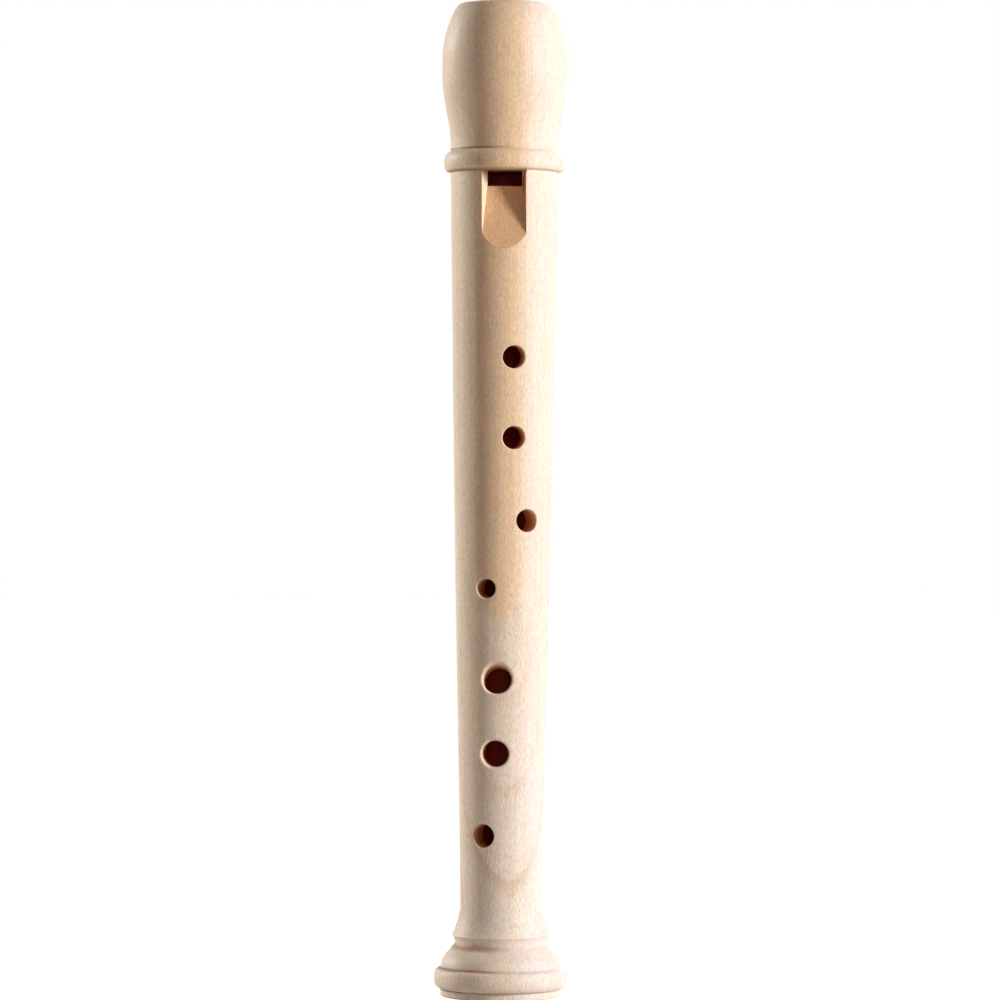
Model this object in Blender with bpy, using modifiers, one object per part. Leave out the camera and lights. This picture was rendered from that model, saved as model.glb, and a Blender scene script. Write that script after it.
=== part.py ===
"""A recorder of the smallest size, standing upright on its foot.

It has two pieces, as the real one has. The body is head, pipe and foot in one,
turned from a single billet of maple and bored through. The block is a cedar
plug pushed into the head from the beak end, and its flat front is the floor of
the windway.

Frame: metres, +Z along the bore from the foot to the beak. The origin is the
centre of the foot's flat end. The window and the finger holes face -Y, and the
thumb hole and the hollow of the beak face +Y.
"""

import math

import bmesh
import bpy
from mathutils import Matrix, Vector

# Heights of the turned foot, from its flat end upwards
FOOT_RING_HEIGHT = 0.0013
FOOT_BEAD_HEIGHT = 0.0035
FOOT_OGEE_HEIGHT = 0.0041
FOOT_LIP_HEIGHT = 0.0012
FLARE_HEIGHT = 0.0054
WAIST_HEIGHT = 0.0045

# Heights of the head, from the labium's edge upwards
CUT_UP = 0.0026
WINDOW_TO_RING = 0.00005
RING_HEIGHT = 0.00385
NECK_HEIGHT = 0.0006
NECK_CURVE_HEIGHT = 0.0115
BULB_BAND_HEIGHT = 0.0020
SHOULDER_HEIGHT = 0.0100

# Outer radii, and how far the mouldings stand out
WAIST_RADIUS = 0.00689
PIPE_TOP_RADIUS = 0.00893
PIPE_SWELL = 0.00012
NECK_RADIUS = 0.00899
RING_PROUD = 0.00117
BULB_RADIUS = 0.01039
FOOT_LIP_RADIUS = 0.00821
FOOT_GROOVE_RADIUS = 0.00771
FOOT_OGEE_RADIUS = 0.01010
FOOT_BEAD_PROUD = 0.00109
FOOT_EDGE_RADIUS = 0.0003

# Bore: straight in the head, then one cone down to a choke above the foot's end
HEAD_BORE_RADIUS = 0.00515
HEAD_BORE_BELOW_LABIUM = 0.022
CHOKE_RADIUS = 0.00345
CHOKE_HEIGHT = 0.012
BORE_END_RADIUS = 0.0037
BORE_END_CHAMFER = 0.0004

# Finger holes, numbered from the beak: how far each lies above the one below
# it, the last of them above the foot's end
HOLE_7_RISE = 0.0270
HOLE_6_RISE = 0.0136
HOLE_5_RISE = 0.0125
HOLE_4_RISE = 0.0148
HOLE_3_RISE = 0.0112
HOLE_2_RISE = 0.0137
HOLE_1_RISE = 0.0133
HOLE_7_DIAMETER = 0.00395
HOLE_6_DIAMETER = 0.00445
HOLE_5_DIAMETER = 0.00480
HOLE_4_DIAMETER = 0.00320
HOLE_3_DIAMETER = 0.00390
HOLE_2_DIAMETER = 0.00376
HOLE_1_DIAMETER = 0.00376
TOP_HOLE_TO_LABIUM = 0.0283
TOP_HOLE_TO_THUMB_HOLE = 0.0069
THUMB_HOLE_DIAMETER = 0.0036

# Side turns of the holes from -Y towards +X, in degrees, and how far the drill
# leaned at hole 5, whose inner end is nearer the foot
HOLE_7_TURN = -26.2
HOLE_6_TURN = -9.2
HOLE_5_TURN = -6.5
HOLE_4_TURN = -20.9
HOLE_3_TURN = 30.4
HOLE_2_TURN = 12.6
HOLE_1_TURN = 12.0
THUMB_HOLE_TURN = 180.0
HOLE_5_LEAN = 16.0

# Windway and window
WINDWAY_WIDTH = 0.0057
LABIUM_WIDER_BY = 0.0002
FLOOR_BELOW_BORE = 0.0002
WINDWAY_EXIT_HEIGHT = 0.0009
WINDWAY_ENTRY_HEIGHT = 0.0011
LABIUM_ABOVE_FLOOR = 0.00055
LABIUM_THICKNESS = 0.00015
UNDERCUT_LENGTH = 0.0060
CHANNEL_BITE = 0.0010
RAMP_LENGTH = 0.0105
WINDOW_WIDTH = 0.0074

# Beak: wood left in front of the windway at the end face, and the hollow behind
TIP_LIP = 0.00095
BEAK_CUT_LENGTH = 0.017
BEAK_CUT_RADIUS = 0.022
BEAK_EDGE_BEHIND_AXIS = 0.0015

# Room all round the block
BLOCK_CLEARANCE = 0.0003

# How square the mouldings are: 2 is an ellipse, and more is squarer
SHOULDER_SQUARENESS = 1.75
RING_SQUARENESS = 2.2
FOOT_BEAD_SQUARENESS = 2.3
OGEE_SKEW = 0.8

# How far down its height a bead's crest lies, as a share
RING_CREST = 0.6
FOOT_BEAD_CREST = 0.5

# Fineness of the facets, and how far a cutter runs past what it cuts
TURN_STEPS = 60
HOLE_STEPS = 24
BEAK_STEPS = 96
OVERRUN = 0.004

# Places that follow from the sizes above
FOOT_BEAD_TOP = FOOT_RING_HEIGHT + FOOT_BEAD_HEIGHT
FOOT_GROOVE_Z = FOOT_BEAD_TOP + FOOT_OGEE_HEIGHT
FOOT_LIP_Z = FOOT_GROOVE_Z + FOOT_LIP_HEIGHT
FLARE_TOP = FOOT_LIP_Z + FLARE_HEIGHT
PIPE_BOTTOM = FLARE_TOP + WAIST_HEIGHT
HOLE_7_Z = HOLE_7_RISE
HOLE_6_Z = HOLE_7_Z + HOLE_6_RISE
HOLE_5_Z = HOLE_6_Z + HOLE_5_RISE
HOLE_4_Z = HOLE_5_Z + HOLE_4_RISE
HOLE_3_Z = HOLE_4_Z + HOLE_3_RISE
HOLE_2_Z = HOLE_3_Z + HOLE_2_RISE
TOP_HOLE_Z = HOLE_2_Z + HOLE_1_RISE
THUMB_HOLE_Z = TOP_HOLE_Z + TOP_HOLE_TO_THUMB_HOLE
LABIUM_Z = TOP_HOLE_Z + TOP_HOLE_TO_LABIUM
WINDOW_TOP = LABIUM_Z + CUT_UP
RING_BOTTOM = WINDOW_TOP + WINDOW_TO_RING
RING_TOP = RING_BOTTOM + RING_HEIGHT
NECK_TOP = RING_TOP + NECK_HEIGHT
BULB_BOTTOM = NECK_TOP + NECK_CURVE_HEIGHT
BULB_TOP = BULB_BOTTOM + BULB_BAND_HEIGHT
OVERALL_LENGTH = BULB_TOP + SHOULDER_HEIGHT
BORE_TAPER_TOP = LABIUM_Z - HEAD_BORE_BELOW_LABIUM

# Depths in front of the axis, towards -Y
FLOOR_DEPTH = HEAD_BORE_RADIUS - FLOOR_BELOW_BORE
LABIUM_DEPTH = FLOOR_DEPTH + LABIUM_ABOVE_FLOOR
EXIT_CEILING_DEPTH = FLOOR_DEPTH + WINDWAY_EXIT_HEIGHT
ENTRY_CEILING_DEPTH = FLOOR_DEPTH + WINDWAY_ENTRY_HEIGHT
TIP_RADIUS = ENTRY_CEILING_DEPTH + TIP_LIP

# Each hole as its name, height, side turn, diameter and lean
HOLES = (
    ("finger_hole_7", HOLE_7_Z, HOLE_7_TURN, HOLE_7_DIAMETER, 0.0),
    ("finger_hole_6", HOLE_6_Z, HOLE_6_TURN, HOLE_6_DIAMETER, 0.0),
    ("finger_hole_5", HOLE_5_Z, HOLE_5_TURN, HOLE_5_DIAMETER, HOLE_5_LEAN),
    ("finger_hole_4", HOLE_4_Z, HOLE_4_TURN, HOLE_4_DIAMETER, 0.0),
    ("finger_hole_3", HOLE_3_Z, HOLE_3_TURN, HOLE_3_DIAMETER, 0.0),
    ("finger_hole_2", HOLE_2_Z, HOLE_2_TURN, HOLE_2_DIAMETER, 0.0),
    ("finger_hole_1", TOP_HOLE_Z, HOLE_1_TURN, HOLE_1_DIAMETER, 0.0),
    ("thumb_hole", THUMB_HOLE_Z, THUMB_HOLE_TURN, THUMB_HOLE_DIAMETER, 0.0),
)


def blend(low, high, share):
    """The value that lies a share of the way from low to high."""
    return low + (high - low) * share


def ease(share):
    """A share from 0 to 1, made slow at both ends."""
    return (1 - math.cos(math.pi * share)) / 2


def shares(steps, first=0):
    """Even shares from 0 to 1, or from a later step to leave out a point that is already there."""
    return [step / steps for step in range(first, steps + 1)]


def bead(above, below, proud, squareness, crest, steps):
    """The outline of a bead that stands proud of the line between two (radius, height) points."""
    points = []
    for share in shares(steps):
        across = max(math.sin(math.pi * share), 0.0) ** (2 / squareness)
        along = math.cos(math.pi * share)
        reach = crest if along > 0 else 1 - crest
        down = crest - reach * math.copysign(abs(along) ** (2 / squareness), along)
        radius = blend(above[0], below[0], down) + proud * across
        points.append((radius, blend(above[1], below[1], down)))
    return points


def pipe_radius(height):
    """The outer radius of the pipe between the waist and the ring."""
    share = (height - PIPE_BOTTOM) / (RING_BOTTOM - PIPE_BOTTOM)
    return blend(WAIST_RADIUS, PIPE_TOP_RADIUS, share) + PIPE_SWELL * math.sin(math.pi * share)


def head_outline():
    """The head's outer side, from the end face down to the ring's lower edge."""
    points = []
    for share in shares(8):
        turn = math.pi / 2 * share
        out = max(math.sin(turn), 0.0) ** (2 / SHOULDER_SQUARENESS)
        up = max(math.cos(turn), 0.0) ** (2 / SHOULDER_SQUARENESS)
        points.append((blend(TIP_RADIUS, BULB_RADIUS, out), BULB_TOP + SHOULDER_HEIGHT * up))
    for share in shares(8):
        radius = blend(BULB_RADIUS, NECK_RADIUS, ease(share))
        points.append((radius, blend(BULB_BOTTOM, NECK_TOP, share)))
    neck = (NECK_RADIUS, RING_TOP)
    pipe = (PIPE_TOP_RADIUS, RING_BOTTOM)
    points += bead(neck, pipe, RING_PROUD, RING_SQUARENESS, RING_CREST, 10)
    return points


def pipe_outline():
    """The pipe's outer side, from below the ring down to the waist."""
    heights = [blend(RING_BOTTOM, PIPE_BOTTOM, share) for share in shares(8, first=1)]
    return [(pipe_radius(height), height) for height in heights]


def foot_outline():
    """The foot's outer side, from the top of the flare down to the flat end."""
    points = []
    for share in shares(5):
        radius = blend(WAIST_RADIUS, FOOT_LIP_RADIUS, share**2)
        points.append((radius, blend(FLARE_TOP, FOOT_LIP_Z, share)))
    for share in shares(3, first=1):
        turn = math.pi / 2 * share
        radius = blend(FOOT_GROOVE_RADIUS, FOOT_LIP_RADIUS, math.cos(turn))
        points.append((radius, blend(FOOT_LIP_Z, FOOT_GROOVE_Z, math.sin(turn))))
    for share in shares(6, first=1):
        radius = blend(FOOT_GROOVE_RADIUS, FOOT_OGEE_RADIUS, ease(share**OGEE_SKEW))
        points.append((radius, blend(FOOT_GROOVE_Z, FOOT_BEAD_TOP, share)))
    above = (FOOT_OGEE_RADIUS, FOOT_BEAD_TOP)
    below = (FOOT_OGEE_RADIUS, FOOT_RING_HEIGHT)
    points += bead(above, below, FOOT_BEAD_PROUD, FOOT_BEAD_SQUARENESS, FOOT_BEAD_CREST, 10)[1:]
    points.append((FOOT_OGEE_RADIUS, FOOT_EDGE_RADIUS))
    points.append((FOOT_OGEE_RADIUS - FOOT_EDGE_RADIUS, 0.0))
    return points


def bore_outline():
    """The bore, from the foot's end up to the beak's end face."""
    return [
        (BORE_END_RADIUS + BORE_END_CHAMFER, 0.0),
        (BORE_END_RADIUS, BORE_END_CHAMFER),
        (CHOKE_RADIUS, CHOKE_HEIGHT),
        (HEAD_BORE_RADIUS, BORE_TAPER_TOP),
        (HEAD_BORE_RADIUS, OVERALL_LENGTH),
    ]


def new_object(name, mesh_source, collection):
    """An object made from a bmesh, which is freed."""
    mesh = bpy.data.meshes.new(name)
    mesh_source.to_mesh(mesh)
    mesh_source.free()
    made = bpy.data.objects.new(name, mesh)
    collection.objects.link(made)
    return made


def new_cutter(name, mesh_source, collection):
    """A tool for a Boolean, drawn as wire and left out of renders."""
    cutter = new_object(name, mesh_source, collection)
    cutter.hide_render = True
    cutter.display_type = "WIRE"
    return cutter


def new_collection(name, parent):
    """A collection inside another."""
    collection = bpy.data.collections.new(name)
    parent.children.link(collection)
    return collection


def cylinder(radius, length, steps, matrix):
    """A closed cylinder centred on the matrix's origin, with its axis along local Z."""
    shape = bmesh.new()
    bmesh.ops.create_cone(
        shape,
        cap_ends=True,
        segments=steps,
        radius1=radius,
        radius2=radius,
        depth=length,
        matrix=matrix,
    )
    return shape


def box(low, high):
    """A closed box between two corners."""
    size = Vector(high) - Vector(low)
    middle = (Vector(high) + Vector(low)) / 2
    shape = bmesh.new()
    bmesh.ops.create_cube(shape, size=1.0, matrix=Matrix.Translation(middle) @ Matrix.Diagonal((*size, 1.0)))
    return shape


def side_profile_prism(outline, half_width):
    """A prism across the instrument, from an outline of (depth in front of the axis, height)."""
    shape = bmesh.new()
    corners = [shape.verts.new((-half_width, -depth, height)) for depth, height in outline]
    face = shape.faces.new(corners)
    swept = bmesh.ops.extrude_face_region(shape, geom=[face])["geom"]
    moved = [part for part in swept if isinstance(part, bmesh.types.BMVert)]
    bmesh.ops.translate(shape, vec=(2 * half_width, 0.0, 0.0), verts=moved)
    bmesh.ops.recalc_face_normals(shape, faces=shape.faces)
    return shape


def add_boolean(target, operation, name):
    """Adds a Boolean with an exact solver, and returns it for its tool to be set."""
    modifier = target.modifiers.new(name, "BOOLEAN")
    modifier.operation = operation
    modifier.solver = "EXACT"
    return modifier


def hole_cutter(name, height, turn, diameter, lean, collection):
    """A drill from outside the pipe to the bore's axis, turned from -Y towards +X.

    The lean is about the point where the drill meets the outside, so the hole stays in its place there.
    """
    outside = pipe_radius(height)
    inward = outside / math.cos(math.radians(lean))
    length = inward + OVERRUN
    side = Matrix.Rotation(math.radians(turn), 4, "Z")
    entry = Matrix.Translation((0.0, -outside, height))
    drill = Matrix.Rotation(math.radians(90.0 - lean), 4, "X")
    centre = Matrix.Translation((0.0, 0.0, length / 2 - inward))
    half_step = Matrix.Rotation(math.pi / HOLE_STEPS, 4, "Z")
    matrix = side @ entry @ drill @ centre @ half_step
    new_cutter(name, cylinder(diameter / 2, length, HOLE_STEPS, matrix), collection)


def window_cutter(collection):
    """The window and the ramp below it, as a box whose corners are moved to its splayed walls.

    Each wall is flat: the half width grows evenly with depth from the labium to
    the outside, and the ramp falls evenly from the labium's edge to the pipe.
    """
    surface_depth = math.sqrt(PIPE_TOP_RADIUS**2 - (WINDOW_WIDTH / 2) ** 2)
    labium_width = WINDWAY_WIDTH + LABIUM_WIDER_BY
    splay = (WINDOW_WIDTH - labium_width) / 2 / (surface_depth - LABIUM_DEPTH)
    fall = RAMP_LENGTH / (pipe_radius(LABIUM_Z - RAMP_LENGTH) - LABIUM_DEPTH)
    inner_depth = LABIUM_DEPTH - LABIUM_ABOVE_FLOOR / 2
    outer_depth = PIPE_TOP_RADIUS + OVERRUN
    shape = box((-1.0, -1.0, -1.0), (1.0, 1.0, 1.0))
    for corner in shape.verts:
        depth = outer_depth if corner.co.y < 0 else inner_depth
        half_width = labium_width / 2 + splay * (depth - LABIUM_DEPTH)
        ramp_height = LABIUM_Z - fall * (depth - LABIUM_DEPTH)
        height = WINDOW_TOP if corner.co.z > 0 else ramp_height
        corner.co = (math.copysign(half_width, corner.co.x), -depth, height)
    new_cutter("window_cutter", shape, collection)


def windway_cutter(collection):
    """The windway's channel, through the window and on as the undercut below the labium.

    The step at the labium leaves its edge a real thickness. The undercut ends
    where it runs out into the bore's wall.
    """
    half_width = WINDWAY_WIDTH / 2
    wall_depth = math.sqrt(HEAD_BORE_RADIUS**2 - half_width**2)
    inside = wall_depth - CHANNEL_BITE
    outline = [
        (inside, OVERALL_LENGTH + OVERRUN),
        (ENTRY_CEILING_DEPTH, OVERALL_LENGTH + OVERRUN),
        (ENTRY_CEILING_DEPTH, OVERALL_LENGTH),
        (EXIT_CEILING_DEPTH, WINDOW_TOP),
        (EXIT_CEILING_DEPTH, LABIUM_Z),
        (LABIUM_DEPTH - LABIUM_THICKNESS, LABIUM_Z),
        (inside, LABIUM_Z - UNDERCUT_LENGTH),
    ]
    new_cutter("windway_cutter", side_profile_prism(outline, half_width), collection)


def beak_cutter(collection):
    """The hollow behind the beak, an arc from the back of the end face down to the bulb's back."""
    edge = Vector((BEAK_EDGE_BEHIND_AXIS, OVERALL_LENGTH))
    end = Vector((BULB_RADIUS, OVERALL_LENGTH - BEAK_CUT_LENGTH))
    chord = end - edge
    outward = Vector((-chord.y, chord.x)).normalized()
    centre = (edge + end) / 2 + outward * math.sqrt(BEAK_CUT_RADIUS**2 - (chord.length / 2) ** 2)
    place = Matrix.Translation((0.0, centre.x, centre.y)) @ Matrix.Rotation(math.pi / 2, 4, "Y")
    shape = cylinder(BEAK_CUT_RADIUS, 2 * (BULB_RADIUS + OVERRUN), BEAK_STEPS, place)
    return new_cutter("beak_cutter", shape, collection)


def wood(name, colour, roughness):
    """A plain wood finish."""
    material = bpy.data.materials.new(name)
    material.use_nodes = True
    shader = material.node_tree.nodes["Principled BSDF"]
    shader.inputs["Base Color"].default_value = (*colour, 1.0)
    shader.inputs["Roughness"].default_value = roughness
    shader.inputs["Metallic"].default_value = 0.0
    return material


def build_body(parts, cutters, beak):
    """The turned maple body, bored and cut, with all its cuts taken at once."""
    outline = head_outline() + pipe_outline() + foot_outline() + bore_outline()
    profile = bmesh.new()
    corners = [profile.verts.new((radius, 0.0, height)) for radius, height in outline]
    for corner, following in zip(corners, corners[1:] + corners[:1]):
        profile.edges.new((corner, following))
    body = new_object("body", profile, parts)
    turning = body.modifiers.new("turning", "SCREW")
    turning.axis = "Z"
    turning.angle = 2 * math.pi
    turning.steps = TURN_STEPS
    turning.render_steps = TURN_STEPS
    turning.use_smooth_shade = True
    turning.merge_threshold = 0.00001
    tools = new_collection("body_cutters", cutters)
    tools.objects.link(beak)
    windway_cutter(tools)
    window_cutter(tools)
    for name, height, turn, diameter, lean in HOLES:
        hole_cutter(name, height, turn, diameter, lean, tools)
    cuts = add_boolean(body, "DIFFERENCE", "cuts")
    cuts.operand_type = "COLLECTION"
    cuts.collection = tools
    body.data.materials.append(wood("maple", (0.775, 0.552, 0.352), 0.45))
    return body


def build_block(parts, cutters, beak):
    """The cedar block: a plug with a tongue that stands up into the windway's channel."""
    radius = HEAD_BORE_RADIUS - BLOCK_CLEARANCE
    length = OVERALL_LENGTH - WINDOW_TOP
    middle = Matrix.Translation((0.0, 0.0, WINDOW_TOP + length / 2))
    block = new_object("block", cylinder(radius, length, TURN_STEPS, middle), parts)
    tongue_half = WINDWAY_WIDTH / 2 - BLOCK_CLEARANCE
    low = (-tongue_half, -FLOOR_DEPTH, WINDOW_TOP)
    high = (tongue_half, -radius / 2, OVERALL_LENGTH)
    tongue = new_cutter("block_tongue", box(low, high), cutters)
    add_boolean(block, "UNION", "tongue").object = tongue
    add_boolean(block, "DIFFERENCE", "beak").object = beak
    block.data.shade_smooth()
    block.data.set_sharp_from_angle(angle=math.radians(30.0))
    block.data.materials.append(wood("cedar", (0.434, 0.188, 0.089), 0.6))
    return block


def main():
    """Clears the scene and builds the recorder."""
    for old in list(bpy.data.objects):
        bpy.data.objects.remove(old, do_unlink=True)
    scene_root = bpy.context.scene.collection
    parts = new_collection("recorder", scene_root)
    cutters = new_collection("cutters", scene_root)
    beak = beak_cutter(cutters)
    build_body(parts, cutters, beak)
    build_block(parts, cutters, beak)


main()
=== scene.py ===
"""The looks of a small recorder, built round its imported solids.

The frame is in metres, with +Z along the bore from the foot to the beak. The
window and the finger holes face -Y, and the thumb hole and the hollow of the
beak face +Y. The body is skinned as one turned billet and then bored and cut as
a maker would cut it, and the block is shaped to its bore.
"""

from __future__ import annotations

import logging
import math
from collections.abc import Callable
from dataclasses import dataclass, field
from enum import Enum
from typing import Any

import bpy
import numpy as np
from mathutils import Matrix, Vector

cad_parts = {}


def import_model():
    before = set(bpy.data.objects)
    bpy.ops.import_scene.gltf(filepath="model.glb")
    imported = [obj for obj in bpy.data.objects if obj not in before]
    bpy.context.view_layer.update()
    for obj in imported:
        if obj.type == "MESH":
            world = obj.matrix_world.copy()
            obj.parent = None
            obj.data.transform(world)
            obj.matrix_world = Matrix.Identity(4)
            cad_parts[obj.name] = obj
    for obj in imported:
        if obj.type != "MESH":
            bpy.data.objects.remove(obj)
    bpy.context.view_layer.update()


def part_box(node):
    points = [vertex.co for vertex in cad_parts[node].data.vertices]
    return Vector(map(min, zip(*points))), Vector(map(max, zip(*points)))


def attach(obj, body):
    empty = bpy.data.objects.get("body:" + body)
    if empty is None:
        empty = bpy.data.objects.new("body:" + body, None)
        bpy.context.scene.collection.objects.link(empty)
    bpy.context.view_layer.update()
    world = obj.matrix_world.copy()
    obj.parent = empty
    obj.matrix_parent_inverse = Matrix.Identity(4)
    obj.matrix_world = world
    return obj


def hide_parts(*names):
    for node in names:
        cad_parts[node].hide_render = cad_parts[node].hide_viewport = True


LOG = logging.getLogger("recorder")

Colour = tuple[float, float, float]
Outline = list[tuple[float, float]]
Surface = Callable[[float, np.ndarray], np.ndarray]
Span = tuple[float, float]
Size = tuple[float, float, float]

# How far beside a point a surface is read to find its slope, in rows or columns
NUDGE = 0.02
# The corner attribute that carries the true surface's normal through the cuts
NORMAL_NOTE = "true_normal"
# The corner attribute that says how deep in a drilled or reamed hole a place is, in millimetres
DEPTH_NOTE = "cut_depth"
# The depth noted in the bore and the windway
DEEP = 4.0
# The depth noted on the window's walls and ramp, which are cut but not drilled
CARVED = -1.0
# How far a cutter runs past what it cuts
OVERRUN = 0.003
# How far the labium and the thumb hole lie above the top finger hole
TOP_HOLE_TO_LABIUM = 0.0283
TOP_HOLE_TO_THUMB_HOLE = 0.0069
# The window's height, from the labium up to the windway's end
CUT_UP = 0.0026
# The sliver of pipe between the window and the ring
WINDOW_TO_RING = 0.00005
# How far below the labium the bore's cone starts
CONE_BELOW_LABIUM = 0.022
# The wood in front of the windway at the beak's end
TIP_LIP = 0.0014
# How many of the head's rows, from its end face down, have no corner to frame
SMOOTH_HEAD_ROWS = 80


class Side(Enum):
    """The side of the pipe that a hole is drilled from, as a turn from -Y in degrees."""

    FINGERS = 0.0
    THUMB = 180.0


def blend(low: float, high: float, share: float) -> float:
    """The value that lies a share of the way from low to high."""
    return low + (high - low) * share


def ease(share: float) -> float:
    """A share from 0 to 1, made slow at both ends."""
    return (1 - math.cos(math.pi * share)) / 2


def shares(steps: int, first: int = 0) -> list[float]:
    """Even shares from 0 to 1, or from a later step to leave out points that are already there."""
    return [step / steps for step in range(first, steps + 1)]


def unit(vectors: np.ndarray) -> np.ndarray:
    """Vectors along the last axis made one long, and those without length left as they are."""
    length = np.linalg.norm(vectors, axis=-1, keepdims=True)
    return vectors / np.where(length > 0, length, 1.0)


def crisp(outline: Outline, margin: float = 0.00004, sharp_degrees: float = 30.0) -> Outline:
    """Frames each sharp corner of an outline with two close points, so that only its edge looks rounded.

    Args:
        outline: (radius, height) points in order.
        margin: how far from the corner the new points lie.
        sharp_degrees: the least turn that counts as a sharp corner.

    Returns:
        The outline with the new points.
    """
    points = [Vector(point) for point in outline]
    framed = [outline[0]]
    for before, corner, after in zip(points, points[1:], points[2:]):
        sharp = (corner - before).angle(after - corner) > math.radians(sharp_degrees)
        for neighbour in (before, None, after):
            if neighbour is None:
                framed.append(tuple(corner))
            elif sharp and (neighbour - corner).length > 3 * margin:
                framed.append(tuple(corner + (neighbour - corner).normalized() * margin))
    return framed + [outline[-1]]


def bead(
    above: tuple[float, float],
    below: tuple[float, float],
    proud: float,
    squareness: tuple[float, float],
    crest: float,
    steps: int,
) -> Outline:
    """The outline of a bead that stands proud of the line between two points.

    Args:
        above: the (radius, height) point where the bead starts.
        below: the (radius, height) point where it ends.
        proud: how far its crest stands out.
        squareness: of its upper and its lower half, where 2 is an ellipse and more is squarer.
        crest: how far down its height the crest lies, as a share.
        steps: the number of chords.

    Returns:
        The points from above to below.
    """
    points = []
    for share in shares(steps):
        upper = share < 0.5
        power = 2 / squareness[0 if upper else 1]
        across = max(math.sin(math.pi * share), 0.0) ** power
        along = math.copysign(abs(math.cos(math.pi * share)) ** power, 0.5 - share)
        down = crest - (crest if upper else 1 - crest) * along
        points.append((blend(above[0], below[0], down) + proud * across, blend(above[1], below[1], down)))
    return points


def new_object(name: str, points: np.ndarray, faces: list[tuple[int, ...]]) -> bpy.types.Object:
    """A mesh object in the scene.

    Args:
        name: its name, and its mesh's.
        points: its corners, one to a row.
        faces: the corners of each face, anticlockwise as seen from outside.

    Returns:
        The object.
    """
    mesh = bpy.data.meshes.new(name)
    mesh.from_pydata(points.tolist(), [], faces)
    made = bpy.data.objects.new(name, mesh)
    bpy.context.scene.collection.objects.link(made)
    return made


def note_skin(
    piece: bpy.types.Object,
    normals: np.ndarray | None,
    cutter: bool,
    depths: np.ndarray | float = 0.0,
) -> None:
    """Writes the true normal and the depth on every corner of a mesh, where a Boolean passes them on.

    Args:
        piece: the mesh object.
        normals: the normal at each point, or None for a piece whose faces are all flat.
        cutter: True if the piece is a tool, whose skin ends up facing the other way.
        depths: how deep each point lies in a hole, or one depth for all of them.
    """
    mesh = piece.data
    points = np.zeros(len(mesh.loops), np.int32)
    mesh.loops.foreach_get("vertex_index", points)
    depth = mesh.attributes.new(DEPTH_NOTE, "FLOAT", "CORNER")
    every_depth = np.broadcast_to(depths, len(mesh.vertices))
    depth.data.foreach_set("value", every_depth[points].astype(np.float32))
    noted = np.zeros((len(mesh.loops), 3))
    for face in mesh.polygons:
        corners = list(face.loop_indices)
        if normals is None or len(corners) > 4:
            noted[corners] = face.normal
        else:
            noted[corners] = normals[list(face.vertices)]
    if cutter:
        noted = -noted
    attribute = mesh.attributes.new(NORMAL_NOTE, "FLOAT_VECTOR", "CORNER")
    attribute.data.foreach_set("vector", noted.ravel().astype(np.float32))


def loft(
    name: str,
    surface: Surface,
    rows: int,
    columns: int,
    cutter: bool = False,
    depths: list[float] | None = None,
) -> bpy.types.Object:
    """A closed skin over rows of points that run round it, with flat ends.

    Args:
        name: the object's name.
        surface: gives the points at a row and at an array of columns, also between whole ones.
        rows: the number of rows, along the skin's axis.
        columns: the number of columns, anticlockwise round that axis.
        cutter: True if the skin is a tool for a cut.
        depths: how deep each row lies in the hole that it cuts, if it cuts one.

    Returns:
        The object, with its true normals and its depths noted.
    """
    round_it = np.arange(columns, dtype=float)
    here, along, across = [], [], []
    for row in range(rows):
        points = surface(row, round_it)
        ahead = surface(min(row + NUDGE, rows - 1), round_it) - points
        behind = points - surface(max(row - NUDGE, 0), round_it)
        left = surface(row, round_it + NUDGE) - points
        right = points - surface(row, round_it - NUDGE)
        here.append(points)
        along.append(unit(ahead) + unit(behind))
        across.append(unit(left) + unit(right))
    normals = unit(np.cross(np.concatenate(across), np.concatenate(along)))
    faces = [tuple(reversed(range(columns)))]
    for row in range(rows - 1):
        low, high = row * columns, (row + 1) * columns
        for column in range(columns):
            following = (column + 1) % columns
            faces.append((low + column, low + following, high + following, high + column))
    faces.append(tuple(range((rows - 1) * columns, rows * columns)))
    skin = new_object(name, np.concatenate(here), faces)
    note_skin(skin, normals, cutter, np.repeat(depths or [0.0] * rows, columns))
    return skin


def flat_cutter(name: str, first: list[Vector], second: list[Vector], depth: float) -> bpy.types.Object:
    """A flat-faced tool between two outlines of as many corners.

    Args:
        name: the object's name.
        first: the corners of one end, clockwise as seen from the second.
        second: the corners of the other end, in the same order.
        depth: how deep all of it counts as lying.

    Returns:
        The object, with its true normals noted.
    """
    count = len(first)
    faces = [tuple(reversed(range(count))), tuple(range(count, 2 * count))]
    for corner in range(count):
        following = (corner + 1) % count
        faces.append((corner, following, count + following, count + corner))
    tool = new_object(name, np.array([tuple(corner) for corner in first + second]), faces)
    note_skin(tool, None, True, depth)
    return tool


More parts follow.
